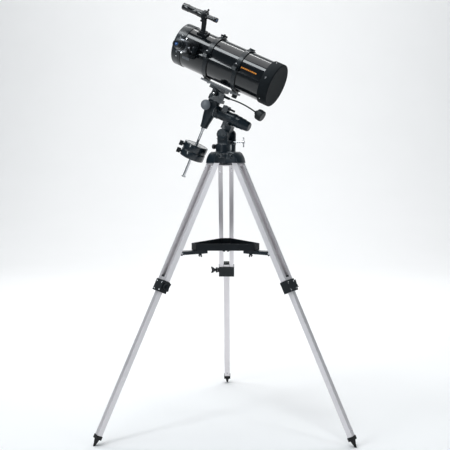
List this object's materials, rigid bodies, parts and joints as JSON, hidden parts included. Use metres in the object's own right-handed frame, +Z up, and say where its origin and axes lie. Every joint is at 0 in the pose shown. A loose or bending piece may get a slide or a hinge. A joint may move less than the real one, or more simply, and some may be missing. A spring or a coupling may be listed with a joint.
{
  "type": "telescope on tripod",
  "caption": "Short reflecting telescope with finder and side focuser in hinged rings on an equatorial head with sliding counterweights, on a folding aluminium tripod with tray.",
  "frame": {"origin": "centre of the footprint on the floor; the tripod's own axis stands 116.8 mm in front of it (towards -Y)", "axes": "+Z up; one leg points along +Y and two point forward to either side; +X to the right seen from the front"},
  "size_m": [0.8418, 0.734, 1.4263],
  "materials": {
    "black_casting": "satin blue-black paint on cast metal",
    "weight_iron": "satin black paint on iron, light reflections on the top face",
    "grey_casting": "satin grey paint",
    "black_plastic": "moulded black plastic",
    "ring_paint": "semi-gloss black paint",
    "gloss_black_tube": "high-gloss black enamel",
    "matte_black": "fine matte black",
    "satin_aluminium": "satin anodised aluminium, drawn lengthwise",
    "bright_chrome": "polished chrome plate",
    "mirror_coating": "bright mirror coating",
    "foot_rubber": "black rubber"
  },
  "bodies": {
    "tripod": {"tripod_hub": "black_casting", "hub_center_bolt": "bright_chrome"},
    "tray": {"accessory_tray": "black_plastic"},
    "azimuth_head": {"azimuth_base": "black_casting", "altitude_pivot_cap": "black_casting"},
    "azimuth_screw": {"azimuth_lock_knob": "black_plastic"},
    "latitude_bolt": {"latitude_screw": "bright_chrome"},
    "polar_head": {"polar_housing": "black_casting", "polar_end_cap": "black_casting"},
    "ra_worm": {"ra_worm_shaft": "black_plastic"},
    "ra_lock": {"ra_lock_screw": "black_plastic"},
    "ra_head": {"dec_housing": "black_casting", "dec_housing_cap": "grey_casting", "dec_cable": "matte_black", "counterweight_shaft": "bright_chrome", "shaft_end_nut": "bright_chrome"},
    "dec_slow_knob": {"dec_cable_knob": "black_plastic"},
    "dec_lock": {"dec_lock_knob": "black_plastic"},
    "weight_upper": {"counterweight_upper": "weight_iron"},
    "weight_lower": {"counterweight_lower": "weight_iron"},
    "weight_upper_screw": {"weight_screw_upper": "black_plastic"},
    "weight_lower_screw": {"weight_screw_lower": "black_plastic"},
    "dec_head": {"dec_saddle": "black_casting", "cradle_plate": "grey_casting", "ring_front_lower": "ring_paint", "ring_rear_lower": "ring_paint"},
    "ring_front": {"ring_front_upper": "ring_paint"},
    "ring_rear": {"ring_rear_upper": "ring_paint"},
    "ring_front_nut": {"ring_front_knob": "black_plastic"},
    "ring_rear_nut": {"ring_rear_knob": "black_plastic"},
    "piggyback_nut": {"piggyback_knob": "black_plastic"},
    "tube_body": {"tube": "gloss_black_tube", "front_band": "ring_paint", "rear_cell": "matte_black", "primary_mirror": "mirror_coating", "spider": "ring_paint", "focuser_body": "black_plastic", "finder_bracket": "black_plastic", "finder_tube": "gloss_black_tube"},
    "drawtube_body": {"drawtube": "bright_chrome"},
    "focus_shaft": {"focus_knobs": "black_plastic"},
    "eyepiece_body": {"eyepiece": "black_plastic"},
    "leg_left": {"leg_left_upper": "satin_aluminium", "leg_left_clamp": "black_plastic"},
    "lower_left": {"leg_left_lower": "satin_aluminium", "foot_left": "foot_rubber"},
    "clamp_screw_left": {"clamp_knob_left": "black_plastic"},
    "arm_left": {"brace_left": "black_casting"},
    "leg_right": {"leg_right_upper": "satin_aluminium", "leg_right_clamp": "black_plastic"},
    "lower_right": {"leg_right_lower": "satin_aluminium", "foot_right": "foot_rubber"},
    "clamp_screw_right": {"clamp_knob_right": "black_plastic"},
    "arm_right": {"brace_right": "black_casting"},
    "leg_rear": {"leg_rear_upper": "satin_aluminium", "leg_rear_clamp": "black_plastic"},
    "lower_rear": {"leg_rear_lower": "satin_aluminium", "foot_rear": "foot_rubber"},
    "clamp_screw_rear": {"clamp_knob_rear": "black_plastic"},
    "arm_rear": {"brace_rear": "black_casting"}
  },
  "joints": [
    {"name": "leg_left_swing", "type": "hinge", "parent": "tripod", "child": "leg_left", "pos_m": [-0.03256, -0.1356, 0.9214], "axis": [-0.5, 0.866, 0], "range_deg": [-7, 0]},
    {"name": "leg_left_extension", "type": "slide", "parent": "leg_left", "child": "lower_left", "axis": [0.3748, 0.2164, 0.9015], "range_m": [0, 0.28]},
    {"name": "clamp_left_turn", "type": "hinge", "parent": "leg_left", "child": "clamp_screw_left", "pos_m": [-0.20874, -0.23732, 0.49771], "axis": [0.5, -0.866, 0], "continuous": true},
    {"name": "brace_left_fold", "type": "hinge", "parent": "leg_left", "child": "arm_left", "pos_m": [-0.15093, -0.20394, 0.6007], "axis": [-0.5, 0.866, 0], "range_deg": [0, 75]},
    {"name": "leg_right_swing", "type": "hinge", "parent": "tripod", "child": "leg_right", "pos_m": [0.03256, -0.1356, 0.9214], "axis": [-0.5, -0.866, 0], "range_deg": [-7, 0]},
    {"name": "leg_right_extension", "type": "slide", "parent": "leg_right", "child": "lower_right", "axis": [-0.3748, 0.2164, 0.9015], "range_m": [0, 0.28]},
    {"name": "clamp_right_turn", "type": "hinge", "parent": "leg_right", "child": "clamp_screw_right", "pos_m": [0.20874, -0.23732, 0.49771], "axis": [0.5, 0.866, 0], "continuous": true},
    {"name": "brace_right_fold", "type": "hinge", "parent": "leg_right", "child": "arm_right", "pos_m": [0.15093, -0.20394, 0.6007], "axis": [-0.5, -0.866, 0], "range_deg": [0, 75]},
    {"name": "leg_rear_swing", "type": "hinge", "parent": "tripod", "child": "leg_rear", "pos_m": [0, -0.0792, 0.9214], "axis": [1, 0, 0], "range_deg": [-7, 0]},
    {"name": "leg_rear_extension", "type": "slide", "parent": "leg_rear", "child": "lower_rear", "axis": [0, -0.4328, 0.9015], "range_m": [0, 0.28]},
    {"name": "clamp_rear_turn", "type": "hinge", "parent": "leg_rear", "child": "clamp_screw_rear", "pos_m": [0, 0.12423, 0.49771], "axis": [-1, 0, 0], "continuous": true},
    {"name": "brace_rear_fold", "type": "hinge", "parent": "leg_rear", "child": "arm_rear", "pos_m": [0, 0.05748, 0.6007], "axis": [1, 0, 0], "range_deg": [0, 75]},
    {"name": "tray_lift", "type": "slide", "parent": "tripod", "child": "tray", "axis": [0, 0, 1], "range_m": [0, 0.09]},
    {"name": "azimuth_turn", "type": "hinge", "parent": "tripod", "child": "azimuth_head", "pos_m": [0, -0.1168, 0], "axis": [0, 0, 1], "continuous": true},
    {"name": "azimuth_lock_turn", "type": "hinge", "parent": "azimuth_head", "child": "azimuth_screw", "pos_m": [-0.03349, -0.10361, 0.9535], "axis": [-0.9304, 0.3665, 0], "continuous": true},
    {"name": "latitude_screw_turn", "type": "hinge", "parent": "azimuth_head", "child": "latitude_bolt", "pos_m": [0.03722, -0.13146, 0.968], "axis": [-0.9304, 0.3665, 0], "continuous": true},
    {"name": "altitude_tilt", "type": "hinge", "parent": "azimuth_head", "child": "polar_head", "pos_m": [0, -0.1168, 0.994], "axis": [0.3665, 0.9304, 0], "range_deg": [-15, 17]},
    {"name": "ra_worm_turn", "type": "hinge", "parent": "polar_head", "child": "ra_worm", "pos_m": [0.01708, -0.13213, 1.07554], "axis": [-0.846, 0.3332, 0.4163], "continuous": true},
    {"name": "ra_lock_turn", "type": "hinge", "parent": "polar_head", "child": "ra_lock", "pos_m": [-0.03081, -0.12616, 1.07385], "axis": [-0.3665, -0.9304, 0], "continuous": true},
    {"name": "ra_axis_turn", "type": "hinge", "parent": "polar_head", "child": "ra_head", "pos_m": [-0.04966, -0.09724, 1.08014], "axis": [-0.846, 0.3332, 0.4163], "range_deg": [-90, 90]},
    {"name": "dec_cable_knob_turn", "type": "hinge", "parent": "ra_head", "child": "dec_slow_knob", "pos_m": [0.09817, -0.1947, 1.0646], "axis": [0.7588, -0.3579, -0.5442], "continuous": true},
    {"name": "dec_lock_turn", "type": "hinge", "parent": "ra_head", "child": "dec_lock", "pos_m": [-0.03509, -0.14597, 1.12954], "axis": [-0.3665, -0.9304, 0], "continuous": true},
    {"name": "weight_upper_slide", "type": "slide", "parent": "ra_head", "child": "weight_upper", "axis": [0.3873, -0.1526, 0.9092], "range_m": [0, 0.05]},
    {"name": "weight_upper_screw_turn", "type": "hinge", "parent": "weight_upper", "child": "weight_upper_screw", "pos_m": [-0.10495, -0.07546, 0.95034], "axis": [-0.8739, -0.3749, 0.3094], "continuous": true},
    {"name": "weight_lower_slide", "type": "slide", "parent": "ra_head", "child": "weight_lower", "axis": [0.3873, -0.1526, 0.9092], "range_m": [-0.063, 0]},
    {"name": "weight_lower_screw_turn", "type": "hinge", "parent": "weight_lower", "child": "weight_lower_screw", "pos_m": [-0.11502, -0.07149, 0.9267], "axis": [-0.8739, -0.3749, 0.3094], "continuous": true},
    {"name": "dec_axis_turn", "type": "hinge", "parent": "ra_head", "child": "dec_head", "pos_m": [-0.02642, -0.10639, 1.13469], "axis": [-0.3873, 0.1526, -0.9092], "continuous": true},
    {"name": "tube_roll", "type": "hinge", "parent": "dec_head", "child": "tube_body", "pos_m": [0.01251, -0.12173, 1.22607], "axis": [-0.846, 0.3332, 0.4163], "range_deg": [-30, 60]},
    {"name": "ring_front_open", "type": "hinge", "parent": "dec_head", "child": "ring_front", "pos_m": [-0.00592, -0.02956, 1.24938], "axis": [-0.846, 0.3332, 0.4163], "range_deg": [0, 60]},
    {"name": "ring_front_knob_turn", "type": "hinge", "parent": "ring_front", "child": "ring_front_nut", "pos_m": [-0.06566, -0.18122, 1.24938], "axis": [0.3873, -0.1526, 0.9092], "continuous": true},
    {"name": "ring_rear_open", "type": "hinge", "parent": "dec_head", "child": "ring_rear", "pos_m": [0.08883, -0.06688, 1.20276], "axis": [-0.846, 0.3332, 0.4163], "range_deg": [0, 60]},
    {"name": "ring_rear_knob_turn", "type": "hinge", "parent": "ring_rear", "child": "ring_rear_nut", "pos_m": [0.02909, -0.21854, 1.20276], "axis": [0.3873, -0.1526, 0.9092], "continuous": true},
    {"name": "piggyback_knob_turn", "type": "hinge", "parent": "ring_front", "child": "piggyback_nut", "pos_m": [-0.00408, -0.11519, 1.32166], "axis": [0.3873, -0.1526, 0.9092], "continuous": true},
    {"name": "focuser_travel", "type": "slide", "parent": "tube_body", "child": "drawtube_body", "axis": [-0.3665, -0.9304, 0], "range_m": [-0.024, 0.025]},
    {"name": "focus_knob_turn", "type": "hinge", "parent": "tube_body", "child": "focus_shaft", "pos_m": [-0.10494, -0.16682, 1.26853], "axis": [0.3873, -0.1526, 0.9092], "range_deg": [-260, 260]},
    {"name": "eyepiece_pull", "type": "slide", "parent": "drawtube_body", "child": "eyepiece_body", "axis": [-0.3665, -0.9304, 0], "range_m": [0, 0.045]}
  ],
  "couplings": [
    {"joint": "focus_knob_turn", "follows": "focuser_travel", "rad_per_m": 178.57}
  ]
}
